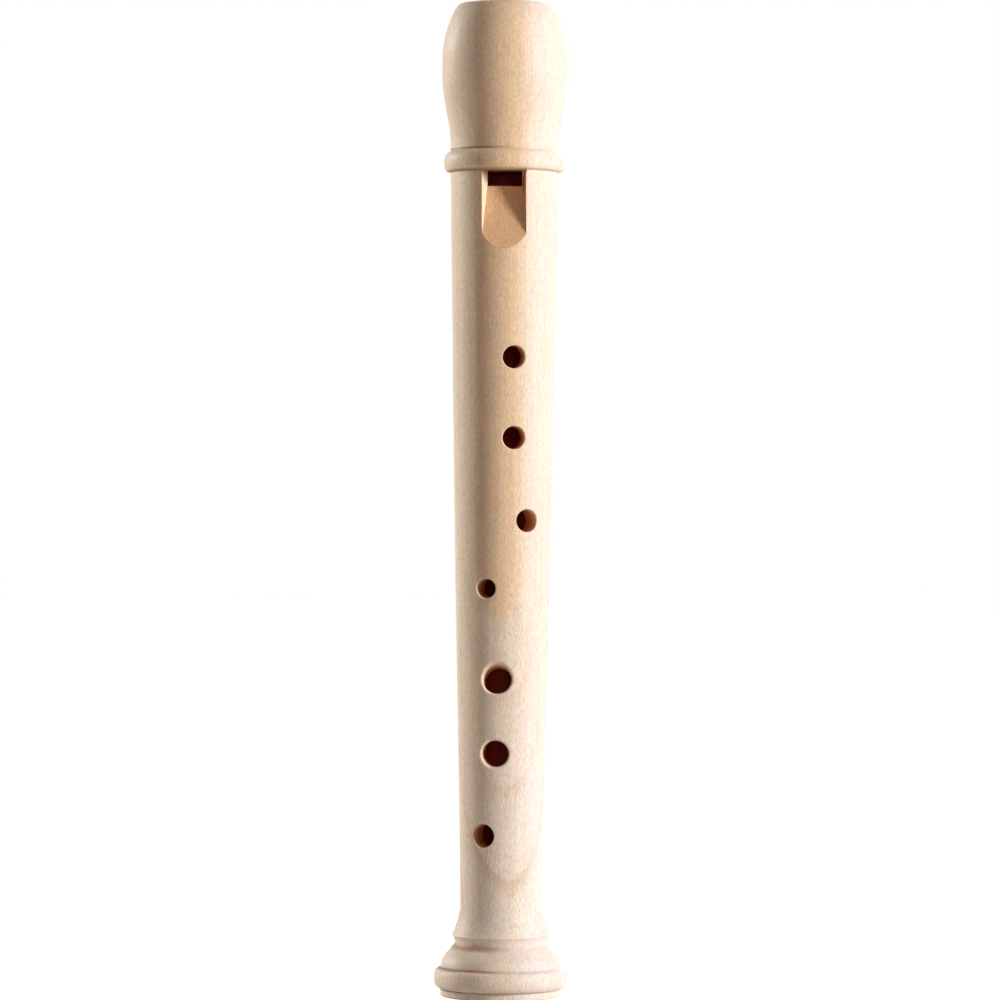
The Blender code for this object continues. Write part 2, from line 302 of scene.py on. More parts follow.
def cut(piece: bpy.types.Object, tools: list[bpy.types.Object]) -> None:
    """Cuts a piece with all its tools at once, gives it back its true normals and clears the tools away.

    Args:
        piece: the mesh object, which is cut in place.
        tools: the closed objects to cut away, which are removed.
    """
    tool_box = bpy.data.collections.new(f"{piece.name}_tools")
    bpy.context.scene.collection.children.link(tool_box)
    for tool in tools:
        tool_box.objects.link(tool)
    modifier = piece.modifiers.new("cuts", "BOOLEAN")
    modifier.operation = "DIFFERENCE"
    modifier.solver = "EXACT"
    modifier.operand_type = "COLLECTION"
    modifier.collection = tool_box
    depsgraph = bpy.context.evaluated_depsgraph_get()
    evaluated = piece.evaluated_get(depsgraph)
    mesh = bpy.data.meshes.new_from_object(evaluated, preserve_all_data_layers=True, depsgraph=depsgraph)
    piece.modifiers.clear()
    piece.data = mesh
    for tool in tools:
        bpy.data.objects.remove(tool)
    bpy.data.collections.remove(tool_box)
    noted = np.zeros(3 * len(mesh.loops), np.float32)
    mesh.attributes[NORMAL_NOTE].data.foreach_get("vector", noted)
    mesh.shade_smooth()
    mesh.normals_split_custom_set(unit(noted.reshape(-1, 3)).tolist())
    mesh.attributes.remove(mesh.attributes[NORMAL_NOTE])


@dataclass(frozen=True)
class Wire:
    """A shader value that Python's operators work on, by adding Math nodes."""

    shade: Shade
    socket: bpy.types.NodeSocket

    def __add__(self, other: Wire | float) -> Wire:
        """This plus a value."""
        return self.shade.maths("ADD", self, other)

    def __radd__(self, other: float) -> Wire:
        """A number plus this."""
        return self.shade.maths("ADD", other, self)

    def __sub__(self, other: Wire | float) -> Wire:
        """This less a value."""
        return self.shade.maths("SUBTRACT", self, other)

    def __rsub__(self, other: float) -> Wire:
        """A number less this."""
        return self.shade.maths("SUBTRACT", other, self)

    def __mul__(self, other: Wire | float) -> Wire:
        """This times a value."""
        return self.shade.maths("MULTIPLY", self, other)

    def __rmul__(self, other: float) -> Wire:
        """A number times this."""
        return self.shade.maths("MULTIPLY", other, self)

    def __truediv__(self, other: Wire | float) -> Wire:
        """This over a value."""
        return self.shade.maths("DIVIDE", self, other)

    def __pow__(self, other: Wire | float) -> Wire:
        """This to the power of a value."""
        return self.shade.maths("POWER", self, other)


class Shade:
    """A material's nodes round its Principled shader."""

    def __init__(self, name: str) -> None:
        """Starts a material of that name."""
        self.material = bpy.data.materials.new(name)
        self.material.use_nodes = True
        self.tree = self.material.node_tree
        self.surface = self.tree.nodes["Principled BSDF"]

    def node(
        self,
        kind: str,
        settings: dict[str, Any] | None = None,
        sockets: dict[str | int, Any] | None = None,
    ) -> bpy.types.Node:
        """Adds a node.

        Args:
            kind: the node's type.
            settings: its properties, set first.
            sockets: numbers, colours or links for its inputs, by name or place.

        Returns:
            The node.
        """
        made = self.tree.nodes.new(kind)
        for name, value in (settings or {}).items():
            setattr(made, name, value)
        self.feed(made, sockets or {})
        return made

    def feed(self, node: bpy.types.Node, sockets: dict[str | int, Any]) -> None:
        """Links or sets a node's inputs.

        Args:
            node: the node.
            sockets: numbers, colours or links for its inputs, by name or place.
        """
        for name, value in sockets.items():
            if isinstance(value, Wire):
                value = value.socket
            if isinstance(value, bpy.types.NodeSocket):
                self.tree.links.new(value, node.inputs[name])
            else:
                node.inputs[name].default_value = value

    def maths(self, operation: str, *terms: Wire | float) -> Wire:
        """The result of a Math node."""
        made = self.node("ShaderNodeMath", {"operation": operation}, dict(enumerate(terms)))
        return Wire(self, made.outputs[0])

    def rise(self, value: Wire, start: float | Wire, end: float | Wire) -> Wire:
        """A smooth rise from 0 to 1.

        Args:
            value: the value that it follows.
            start: the value where the rise is 0.
            end: the value where it is 1.

        Returns:
            The rise.
        """
        settings = {"interpolation_type": "SMOOTHSTEP"}
        sockets = {"Value": value, "From Min": start, "From Max": end}
        return Wire(self, self.node("ShaderNodeMapRange", settings, sockets).outputs["Result"])

    def position(self) -> bpy.types.NodeSocket:
        """The place on the piece, in its own metres."""
        return self.node("ShaderNodeTexCoord").outputs["Object"]

    def millimetres(self, vector: bpy.types.NodeSocket) -> tuple[Wire, Wire, Wire]:
        """The three parts of a place, in millimetres."""
        split = self.node("ShaderNodeSeparateXYZ", sockets={0: vector})
        return tuple(Wire(self, output) * 1000.0 for output in split.outputs)

    def noted(self, name: str) -> Wire:
        """A number noted on the mesh."""
        return Wire(self, self.node("ShaderNodeAttribute", {"attribute_name": name}).outputs["Fac"])

    def stretched(self, vector: bpy.types.NodeSocket, grain: Size) -> bpy.types.NodeSocket:
        """A place measured in grains of a size, for a pattern of such grains."""
        sockets = {0: vector, 1: tuple(1 / length for length in grain)}
        return self.node("ShaderNodeVectorMath", {"operation": "MULTIPLY"}, sockets).outputs[0]

    def noise(self, vector: bpy.types.NodeSocket, grain: Size, detail: float = 2.0) -> Wire:
        """Soft noise about 0, from -1 to 1 at most.

        Args:
            vector: the place that it is read at.
            grain: the size of its grains, in metres.
            detail: how many times it is refined.

        Returns:
            The noise.
        """
        place = self.stretched(vector, grain)
        sockets = {"Vector": place, "Scale": 1.0, "Detail": detail, "Roughness": 0.55}
        return Wire(self, self.node("ShaderNodeTexNoise", sockets=sockets).outputs["Fac"]) * 2.0 - 1.0

    def mix(self, share: Wire | float, low: Any, high: Any) -> bpy.types.NodeSocket:
        """A colour between two.

        Args:
            share: the share of the way from the first to the second.
            low: the first, as numbers or a link.
            high: the second.

        Returns:
            The colour's link.
        """
        colours = [(*value, 1.0) if isinstance(value, tuple) else value for value in (low, high)]
        settings = {"data_type": "RGBA"}
        return self.node("ShaderNodeMix", settings, {0: share, 6: colours[0], 7: colours[1]}).outputs[2]

    def scaled(self, colour: bpy.types.NodeSocket, factor: Wire) -> bpy.types.NodeSocket:
        """A colour made lighter or darker."""
        settings = {"operation": "SCALE"}
        return self.node("ShaderNodeVectorMath", settings, {0: colour, "Scale": factor}).outputs[0]


@dataclass
class Foot:
    """The turned foot: a flat ring, a bead, an ogee, a lip and a flare that runs up into the pipe."""

    ring_height: float = 0.0013
    bead_height: float = 0.0035
    ogee_height: float = 0.0041
    lip_height: float = 0.0012
    flare_height: float = 0.0054
    lip_radius: float = 0.00821
    groove_radius: float = 0.00771
    ogee_radius: float = 0.01006
    bead_proud: float = 0.00113
    bead_squareness: float = 2.3
    cove_roundness: float = 1.5
    ogee_skew: float = 0.7
    edge_radius: float = 0.0003
    # How far below the groove the painted shade of the cove is deepest
    cove_below_groove: float = 0.0005

    @property
    def groove_height(self) -> float:
        """Where the groove below the lip lies."""
        return self.ring_height + self.bead_height + self.ogee_height

    @property
    def lip_level(self) -> float:
        """Where the lip stands out furthest."""
        return self.groove_height + self.lip_height

    @property
    def top(self) -> float:
        """Where the flare ends and the pipe starts."""
        return self.lip_level + self.flare_height

    @property
    def cove(self) -> float:
        """Where the painted shade of the cove under the lip is deepest."""
        return self.groove_height - self.cove_below_groove

    @property
    def creases(self) -> list[float]:
        """Where the creases above and below the bead lie, which painted shade darkens."""
        return [self.ring_height + self.bead_height, self.ring_height]

    def outline(self, waist_radius: float) -> Outline:
        """The foot's outer side.

        Args:
            waist_radius: the pipe's radius where the flare starts.

        Returns:
            The outline, from the top of the flare down to the flat end.
        """
        points = []
        for share in shares(20):
            radius = blend(waist_radius, self.lip_radius, share**2)
            points.append((radius, blend(self.top, self.lip_level, share)))
        for share in shares(10, first=1):
            deep = max(1 - (1 - share) ** self.cove_roundness, 0.0) ** (1 / self.cove_roundness)
            radius = blend(self.lip_radius, self.groove_radius, deep)
            points.append((radius, blend(self.lip_level, self.groove_height, share)))
        bead_top = self.ring_height + self.bead_height
        for share in shares(20, first=1):
            radius = blend(self.groove_radius, self.ogee_radius, ease(share**self.ogee_skew))
            points.append((radius, blend(self.groove_height, bead_top, share)))
        above = (self.ogee_radius, bead_top)
        below = (self.ogee_radius, self.ring_height)
        squareness = (self.bead_squareness, self.bead_squareness)
        points += bead(above, below, self.bead_proud, squareness, 0.5, 26)[1:]
        for share in shares(5):
            turn = math.pi / 2 * share
            inset = self.edge_radius * (1 - math.cos(turn))
            points.append((self.ogee_radius - inset, self.edge_radius * (1 - math.sin(turn))))
        return points


@dataclass
class Pipe:
    """The tapered pipe between the foot and the head."""

    bottom: float
    top: float
    waist_height: float = 0.0045
    waist_radius: float = 0.00689
    top_radius: float = 0.00893
    swell: float = 0.0001
    row_height: float = 0.0025

    def radius_at(self, height: float | np.ndarray) -> float | np.ndarray:
        """The outer radius.

        Args:
            height: the height or heights.

        Returns:
            The radius at each height.
        """
        start = self.bottom + self.waist_height
        share = np.clip((height - start) / (self.top - start), 0.0, 1.0)
        return blend(self.waist_radius, self.top_radius, share) + self.swell * np.sin(np.pi * share)

    def outline(self) -> Outline:
        """The pipe's outer side.

        Returns:
            The outline, from below the ring down to above the foot.
        """
        steps = round((self.top - self.bottom) / self.row_height)
        heights = [blend(self.top, self.bottom, share) for share in shares(steps)][1:-1]
        return [(float(self.radius_at(height)), height) for height in heights]


@dataclass
class Beak:
    """The hollow behind the beak, an arc from the back of the end face down to the bulb's back."""

    end_height: float
    bulb_radius: float
    length: float = 0.017
    radius: float = 0.022
    edge_behind_axis: float = 0.0015
    softness: float = 0.0005

    @property
    def centre(self) -> Vector:
        """The arc's centre.

        Returns:
            How far behind the axis it lies, and its height.
        """
        edge = Vector((self.edge_behind_axis, self.end_height))
        end = Vector((self.bulb_radius, self.end_height - self.length))
        chord = end - edge
        outward = Vector((-chord.y, chord.x)).normalized()
        return (edge + end) / 2 + outward * math.sqrt(self.radius**2 - (chord.length / 2) ** 2)

    def carve(self, reach: float, inset: float, turn: np.ndarray, height: float) -> np.ndarray:
        """The distance from the axis to the skin once the hollow is carved.

        Args:
            reach: the turned radius at this height.
            inset: how far the hollow's edge is rounded back here.
            turn: the directions from the axis, in radians from +X.
            height: the height along the bore.

        Returns:
            The distance in each direction.
        """
        centre = self.centre
        rise = height - centre.y
        if abs(rise) >= self.radius:
            return np.full(len(turn), reach)
        wall = centre.x - math.sqrt(self.radius**2 - rise**2) - inset
        backward = np.sin(turn)
        far = 10 * reach
        hollow = np.where(backward > wall / far, wall / np.maximum(backward, wall / far), far)
        share = np.clip(0.5 + 0.5 * (hollow - reach) / self.softness, 0.0, 1.0)
        return hollow + (reach - hollow) * share - self.softness * share * (1 - share)

    def cutter(self, half_width: float, columns: int = 360) -> bpy.types.Object:
        """The round tool that would cut the hollow, across the instrument.

        Args:
            half_width: how far it reaches to each side.
            columns: the number of its sides.

        Returns:
            The tool.
        """
        centre = self.centre

        def surface(row: float, column: np.ndarray) -> np.ndarray:
            """The points of one end, at row 0, or of the other, at row 1."""
            turn = 2 * np.pi * column / columns
            across = np.full(len(turn), blend(-half_width, half_width, row))
            behind = centre.x + self.radius * np.cos(turn)
            return np.stack([across, behind, centre.y + self.radius * np.sin(turn)], axis=1)

        return loft("beak_hollow", surface, 2, columns, cutter=True)


@dataclass
class Head:
    """The head: the ring above the window, the neck, and the bulb that the beak is cut from."""

    ring_bottom: float
    pipe_radius: float
    tip_radius: float
    ring_height: float = 0.0033
    ring_ledge: float = 0.00012
    ring_proud: float = 0.00117
    ring_crest: float = 0.53
    ring_squareness: tuple[float, float] = (1.8, 3.2)
    neck_radius: float = 0.00899
    neck_height: float = 0.00115
    neck_curve_height: float = 0.0115
    bulb_radius: float = 0.01042
    bulb_band_height: float = 0.0035
    shoulder_height: float = 0.0085
    shoulder_squareness: float = 1.5
    edge_radius: float = 0.00015
    # How far above the ring's top the painted shade of the crease lies
    crease_above_ring: float = 0.0003

    @property
    def ring_top(self) -> float:
        """Where the ring meets the neck."""
        return self.ring_bottom + self.ring_height

    @property
    def shoulder_bottom(self) -> float:
        """Where the bulb starts to close in."""
        return self.ring_top + self.neck_height + self.neck_curve_height + self.bulb_band_height

    @property
    def end(self) -> float:
        """The height of the beak's end face."""
        return self.shoulder_bottom + self.shoulder_height

    @property
    def creases(self) -> list[float]:
        """Where the creases above and below the ring lie, which painted shade darkens."""
        return [self.ring_top + self.crease_above_ring, self.ring_bottom]

    def shoulder_radius(self, height: float) -> float:
        """The radius of the shoulder.

        Args:
            height: the height, on the shoulder.

        Returns:
            The radius there.
        """
        up = min(max((height - self.shoulder_bottom) / self.shoulder_height, 0.0), 1.0)
        out = (1 - up**self.shoulder_squareness) ** (1 / self.shoulder_squareness)
        return blend(self.tip_radius, self.bulb_radius, out)

    def outline(self) -> list[tuple[float, float, float]]:
        """The head's outer side.

        Returns:
            Its (radius, height, inset) from the end face down to the ring's lower edge, where the
            inset is how far the hollow's edge is rounded back there.
        """
        points = []
        for share in shares(7):
            turn = math.pi / 2 * (1 - share)
            height = self.end - self.edge_radius * (1 - math.sin(turn))
            points.append((self.shoulder_radius(height), height, self.edge_radius * (1 - math.cos(turn))))
        start = points[-1][1]
        for share in shares(40, first=1):
            height = blend(start, self.shoulder_bottom, share**1.3)
            points.append((self.shoulder_radius(height), height, 0.0))
        neck_top = self.ring_top + self.neck_height
        band_bottom = neck_top + self.neck_curve_height
        for share in shares(8, first=1):
            points.append((self.bulb_radius, blend(self.shoulder_bottom, band_bottom, share), 0.0))
        for share in shares(40, first=1):
            radius = blend(self.bulb_radius, self.neck_radius, ease(share))
            points.append((radius, blend(band_bottom, neck_top, share), 0.0))
        neck = (self.neck_radius, self.ring_top + self.ring_ledge / 2)
        ledge = (self.neck_radius + self.ring_ledge, self.ring_top)
        ring = bead(ledge, (self.pipe_radius, self.ring_bottom), self.ring_proud - self.ring_ledge,
                    self.ring_squareness, self.ring_crest, 26)
        return points + [(radius, height, 0.0) for radius, height in [neck] + ring]


@dataclass
class Bore:
    """The bore: straight in the head, then one cone down to a choke above the foot's end."""

    head_radius: float = 0.00515
    choke_radius: float = 0.00345
    choke_height: float = 0.012
    end_radius: float = 0.0037
    end_chamfer: float = 0.0004
    columns: int = 96

    def cutter(self, taper_top: float, end: float) -> bpy.types.Object:
        """The reamer's shape, from below the foot to above the beak.

        Args:
            taper_top: where the cone meets the straight part.
            end: the height of the beak's end face.

        Returns:
            The tool.
        """
        outline = crisp([
            (self.end_radius + self.end_chamfer + OVERRUN, -OVERRUN),
            (self.end_radius, self.end_chamfer),
            (self.choke_radius, self.choke_height),
            (self.head_radius, taper_top),
            (self.head_radius, end + OVERRUN),
        ])
        profile = np.array(outline)

        def surface(row: float, column: np.ndarray) -> np.ndarray:
            """The points round one row of the profile."""
            turn = 2 * np.pi * column / self.columns
            radius = np.interp(row, range(len(profile)), profile[:, 0])
            height = np.interp(row, range(len(profile)), profile[:, 1])
            across, behind = radius * np.cos(turn), radius * np.sin(turn)
            return np.stack([across, behind, np.full(len(turn), height)], axis=1)

        return loft("reamer", surface, len(profile), self.columns, True, [DEEP] * len(profile))


@dataclass
class ToneHole:
    """A hole through the pipe's wall, with a rounded mouth.

    The rounding meets the skin at a slight slope, on which the tool runs out past
    it. The hole wanders from a true circle, in another direction at each height.
    """

    name: str
    height: float
    turn: float
    diameter: float
    lean: float = 0.0
    side: Side = Side.FINGERS
    mouth_radius: float = 0.0002
    edge_slope: float = 10.0
    edge_flare: float = 0.6
    wander: float = 0.012
    wander_turn: float = 9000.0
    columns: int = 60

    def cutter(self, pipe: Pipe) -> bpy.types.Object:
        """The drill and mouth tool in one.

        Args:
            pipe: the pipe that it drills.

        Returns:
            The tool, from the bore's axis out past the pipe's skin.
        """
        outside = float(pipe.radius_at(self.height))
        radius, mouth = self.diameter / 2, self.mouth_radius
        rows = [(radius, outside, 1.0)]
        for share in shares(6):
            slope = math.radians(blend(90.0, self.edge_slope, share))
            rows.append((radius + mouth * (1 - math.sin(slope)), mouth * (1 - math.cos(slope)), 0.0))
        rim, drop, _ = rows[-1]
        flare = self.edge_flare * mouth
        rows.append((rim + flare, drop - flare * math.tan(math.radians(self.edge_slope)), 0.0))
        rows.append((rim + flare, -OVERRUN, 1.0))
        steps = np.array(rows)
        lean = math.radians(self.lean)
        swing = Matrix.Rotation(math.radians(self.side.value + self.turn), 3, "Z")

        def surface(row: float, column: np.ndarray) -> np.ndarray:
            """The points round one of the tool's rows, which follow the skin or lie level."""
            turn = 2 * np.pi * column / self.columns
            reach, depth, level = (np.interp(row, range(len(steps)), steps[:, part]) for part in range(3))
            reach = reach * (1 + self.wander * np.sin(2 * turn + self.wander_turn * self.height))
            aside, up = reach * np.cos(turn), reach * np.sin(turn)
            skin = np.sqrt(pipe.radius_at(self.height + up) ** 2 - aside**2)
            out = blend(skin - depth, outside - depth, level)
            up = up / math.cos(lean) - math.tan(lean) * (outside - out)
            points = np.stack([aside, -out, up], axis=1) @ np.array(swing).T
            return points + np.array([0.0, 0.0, self.height])

        depths = [1000 * outside] + [0.0] * (len(rows) - 1)
        return loft(self.name, surface, len(rows), self.columns, True, depths)


@dataclass
class Windway:
    """The windway's channel, the window below the ring, and the ramp down to the labium."""

    labium: float
    window_top: float
    end: float
    width: float = 0.0057
    aside: float = 0.0001
    right_wall_lean: float = 0.00025
    labium_wider_by: float = 0.0001
    floor_depth: float = 0.00495
    exit_height: float = 0.0009
    entry_height: float = 0.0011
    labium_above_floor: float = 0.00055
    labium_thickness: float = 0.00015
    undercut_length: float = 0.0060
    ramp_length: float = 0.0105
    window_width: float = 0.0074
    bite: float = 0.001

    @property
    def entry_depth(self) -> float:
        """How far in front of the axis the windway's ceiling lies at the beak's end."""
        return self.floor_depth + self.entry_height

    def channel_cutter(self, bore: Bore) -> bpy.types.Object:
        """The channel's tool, through the window and on as the undercut below the labium.

        Args:
            bore: the bore, which the tool bites into.

        Returns:
            The tool.
        """
        half_width = self.width / 2
        inside = math.sqrt(bore.head_radius**2 - half_width**2) - self.bite
        exit_depth = self.floor_depth + self.exit_height
        edge_depth = self.floor_depth + self.labium_above_floor - self.labium_thickness
        outline = [
            (inside, self.end + OVERRUN),
            (self.entry_depth, self.end + OVERRUN),
            (self.entry_depth, self.end),
            (exit_depth, self.window_top),
            (exit_depth, self.labium),
            (edge_depth, self.labium),
            (inside, self.labium - self.undercut_length),
        ]
        left = [Vector((self.aside - half_width, -depth, height)) for depth, height in outline]
        right = [Vector((self.aside + half_width, -depth, height)) for depth, height in outline]
        return flat_cutter("windway", left, right, DEEP)

    def window_cutter(self, pipe: Pipe) -> bpy.types.Object:
        """The tool for the window and the ramp, whose walls splay from the labium to the outside.

        Args:
            pipe: the pipe whose skin the ramp runs out to.

        Returns:
            The tool.
        """
        depth = self.floor_depth + self.labium_above_floor
        surface_depth = math.sqrt(pipe.top_radius**2 - (self.window_width / 2) ** 2)
        outer = self.window_width / 2
        inner = (self.width + self.labium_wider_by) / 2
        inner_corners = (-inner, inner, inner + self.right_wall_lean, -inner)
        fall = self.ramp_length / (float(pipe.radius_at(self.labium - self.ramp_length)) - depth)
        ends = []
        for level in (depth - self.labium_above_floor / 2, pipe.top_radius + OVERRUN):
            share = (level - depth) / (surface_depth - depth)
            low = self.labium - fall * (level - depth)
            corners = []
            for within, height in zip(inner_corners, (low, low, self.window_top, self.window_top)):
                across = blend(within + self.aside, math.copysign(outer, within), share)
                corners.append(Vector((across, -level, height)))
            ends.append(corners)
        return flat_cutter("window", *ends, CARVED)


@dataclass(frozen=True)
class Spot:
    """A shaded place on the billet, in millimetres, with the pipe's radius at its height."""

    place: bpy.types.NodeSocket
    x: Wire
    y: Wire
    z: Wire
    skin: Wire


@dataclass(frozen=True)
class Maple:
    """Oiled maple, sawn so that its growth rings come out as long arcs on the lower front.

    The rings lie round the tree's heart, a line behind the pipe's axis that leans
    towards the front below the bend. A warmer streak runs down the upper front,
    browner on its left as painted shade, and the right side, where the key light
    falls, is paler as painted light. Painted shade darkens the creases and the
    cove, most on the left, and the window's right wall, and painted light makes its
    left wall paler. Inside the holes the wood is orange near the mouth as painted
    glow and darker deeper in as painted shade, and the bore below the head is dark
    red as painted shade. Lengths are in millimetres, and a span gives where a
    change starts and where it is complete.
    """

    upper_pale: Colour = (0.80, 0.675, 0.53)
    lower_pale: Colour = (0.83, 0.725, 0.61)
    # Painted light: the right side, where the key light falls, is paler
    upper_painted_light: Colour = (0.85, 0.715, 0.61)
    lower_painted_light: Colour = (0.85, 0.75, 0.68)
    tan: Colour = (0.83, 0.615, 0.38)
    # Painted shade: the warm streak's left part is browner
    painted_shade_brown: Colour = (0.68, 0.47, 0.285)
    late: Colour = (0.75, 0.60, 0.46)
    # Painted light: the window's left wall, which faces the key light, is paler
    cut_painted_light: Colour = (0.81, 0.695, 0.50)
    cut_tan: Colour = (0.755, 0.48, 0.275)
    # Painted shade: the window's right wall, which faces away from the key light, is brown
    cut_painted_shade: Colour = (0.60, 0.27, 0.13)
    # Painted shade in the creases and the foot's cove
    crease_painted_shade: Colour = (0.40, 0.23, 0.13)
    # Inside the holes and the bore: orange near the mouths as painted glow, then painted shade, darker
    # and redder with depth; the orange also colours the bore and windway in the head
    orange_and_painted_glow: Colour = (0.80, 0.47, 0.22)
    hole_painted_shade: Colour = (0.55, 0.19, 0.085)
    bore_painted_shade: Colour = (0.56, 0.08, 0.06)

    lower_to_upper: Span = (10.0, 75.0)
    # Across the pipe, where the painted light on the right side starts and where it is full
    to_painted_light: Span = (0.1, 0.8)
    # Across the pipe, where the painted shade on the streak's left gives way to tan
    painted_shade_to_tan: Span = (-0.55, 0.1)

    ring_spacing: float = 1.63
    ring_phase: float = 0.15
    ring_wobble: float = 0.07
    wobble_size: Size = (0.004, 0.004, 0.012)
    rings_inside: float = 30.0
    heart_depth: float = 13.9
    heart_slope: float = 0.11
    heart_aside: float = -0.66
    heart_aside_slope: float = 0.0099
    bend_height: float = 63.5
    bend_length: float = 8.0
    late_starts: Span = (0.76, 0.95)
    late_stops: Span = (0.965, 1.0)
    late_grows: Span = (45.0, 20.0)
    late_least: float = 0.4
    late_thins: Span = (3.0, 6.0)
    late_above_foot: Span = (10.5, 15.0)

    streak_half_width: float = 4.7
    streak_aside: float = -0.1
    streak_turn_radius: float = 8.6
    streak_bottom: float = 62.3
    streak_round: float = 8.0
    streak_edge: Span = (0.74, 1.12)
    streak_front: Span = (-1.0, -4.0)
    streak_right_fade: Span = (0.8, 5.0)
    streak_strength: float = 0.86
    streak_lean: float = 0.16

    # The painted shade in the cove and the creases, which fades towards the right side, where the key
    # light falls
    cove_half_width: float = 0.85
    crease_half_width: float = 0.35
    crease_strength: float = 0.9
    lit_side: Span = (-4.0, 2.5)
    lit_share: float = 0.8
    patch_below: Span = (11.0, 8.0)
    patch_least: float = 0.1
    patch_more: float = 0.6

    line_size: Size = (0.0006, 0.0006, 0.03)
    fleck_size: Size = (0.00018, 0.00018, 0.0008)
    grain_size: Size = (0.00014, 0.00014, 0.0002)
    mottle_size: Size = (0.003, 0.003, 0.006)
    line_contrast: float = 0.1
    fleck_contrast: float = 0.36
    grain_contrast: float = 0.24
    mottle_contrast: float = 0.06

    # How far a window wall must face sideways to take the painted light or the painted shade
    wall_faces: Span = (0.4, 0.7)
    # How deep the painted glow, the painted shade in the holes and the painted shade in the bore start
    # and are full
    glow_depth: Span = (0.05, 0.5)
    hole_shade_depth: Span = (0.5, 2.4)
    bore_shade_depth: Span = (DEEP - 0.7, DEEP - 0.1)
    roughness: float = 0.46

    def spot(self, shade: Shade, pipe: Pipe) -> Spot:
        """The place being shaded.

        Args:
            shade: the material's nodes.
            pipe: the pipe, whose taper gives the radius at each height.

        Returns:
            The place.
        """
        place = shade.position()
        x, y, z = shade.millimetres(place)
        start = pipe.bottom + pipe.waist_height
        taper = (pipe.top_radius - pipe.waist_radius) / (pipe.top - start)
        skin = (z - 1000 * start) * taper + 1000 * pipe.waist_radius
        return Spot(place, x, y, z, skin)

    def late_wood(self, shade: Shade, spot: Spot) -> Wire:
        """The late wood, at the outside of each growth ring.

        Args:
            shade: the material's nodes.
            spot: the place.

        Returns:
            How much of it the place has, from 0 to 1.
        """
        below = self.bend_height - spot.z
        bent = (below + (below * below + self.bend_length**2) ** 0.5) * 0.5
        depth = self.heart_depth - bent * self.heart_slope
        aside = spot.x - (spot.z * self.heart_aside_slope + self.heart_aside)
        behind = spot.y + spot.skin - depth
        wobble = shade.noise(spot.place, self.wobble_size) * self.ring_wobble
        from_heart = (aside * aside + behind * behind) ** 0.5 + wobble
        count = (from_heart - (self.heart_depth + self.ring_phase)) / self.ring_spacing
        ring = shade.maths("FRACT", count + self.rings_inside)
        late = shade.rise(ring, *self.late_starts) * (1.0 - shade.rise(ring, *self.late_stops))
        grown = shade.rise(spot.z, *self.late_grows) * (1.0 - self.late_least) + self.late_least
        thinned = 1.0 - shade.rise(aside, *self.late_thins) * 0.5
        return late * grown * thinned * shade.rise(spot.z, *self.late_above_foot)

    def warm_streak(self, shade: Shade, spot: Spot, lines: Wire) -> Wire:
        """The warm streak down the upper front, crisp on its left and soft on its right.

        Args:
            shade: the material's nodes.
            spot: the place.
            lines: the fine lines of the grain, which fray its edges.

        Returns:
            How much of it the place has, from 0 to 1.
        """
        round_it = spot.x / spot.skin * self.streak_turn_radius
        aside = (round_it - self.streak_aside) / self.streak_half_width
        tip = self.streak_bottom + self.streak_round
        low = shade.maths("MAXIMUM", tip - spot.z, 0.0) / self.streak_round
        out = (aside * aside + low * low) ** 0.5 + lines * 0.1
        front = shade.rise(spot.y, *self.streak_front)
        fade = 1.0 - shade.rise(round_it + lines * 0.5, *self.streak_right_fade)
        lean = aside * self.streak_lean + self.streak_strength
        return (1.0 - shade.rise(out, *self.streak_edge)) * front * fade * lean

    def creases(self, shade: Shade, spot: Spot, cove: float, heights: list[float]) -> Wire:
        """The painted shade in the foot's cove and the turned creases, which fades on the right side,
        where the key light falls.

        Args:
            shade: the material's nodes.
            spot: the place.
            cove: the height of the foot's cove.
            heights: the heights of the creases.

        Returns:
            How dark the painted shade makes the place, from 0 to 1.
        """
        narrowed = self.crease_half_width / self.cove_half_width
        nearest = shade.maths("ABSOLUTE", spot.z - 1000 * cove) * narrowed
        for height in heights:
            nearest = shade.maths("MINIMUM", nearest, shade.maths("ABSOLUTE", spot.z - 1000 * height))
        lit = shade.rise(spot.x, *self.lit_side) * self.lit_share
        return (1.0 - shade.rise(nearest, 0.0, self.crease_half_width)) * (self.crease_strength - lit)

    def turned(self, shade: Shade, spot: Spot, lines: Wire, mottle: Wire) -> bpy.types.NodeSocket:
        """The colour of the turned skin, with painted light on its right side and painted shade on the
        streak's left.

        Args:
            shade: the material's nodes.
            spot: the place.
            lines: the fine lines of the grain.
            mottle: the soft patches in the wood.

        Returns:
            The colour's link.
        """
        up = shade.rise(spot.z, *self.lower_to_upper)
        across = spot.x / spot.skin
        wood = shade.mix(up, self.lower_pale, self.upper_pale)
        # Painted light: the right side, where the key light falls, is paler
        painted_light = shade.mix(up, self.lower_painted_light, self.upper_painted_light)
        wood = shade.mix(shade.rise(across, *self.to_painted_light), wood, painted_light)
        wood = shade.mix(self.late_wood(shade, spot), wood, self.late)
        streak = self.warm_streak(shade, spot, lines) * (1.0 + lines * 0.35)
        # Painted shade: the streak's left part is browner; its right part is the streak's own tan
        tan_and_painted_shade = shade.mix(shade.rise(across, *self.painted_shade_to_tan), self.painted_shade_brown, self.tan)
        patches = mottle * (shade.rise(spot.z, *self.patch_below) * self.patch_more + self.patch_least)
        return shade.mix(shade.maths("MAXIMUM", streak + patches, 0.0), wood, tan_and_painted_shade)

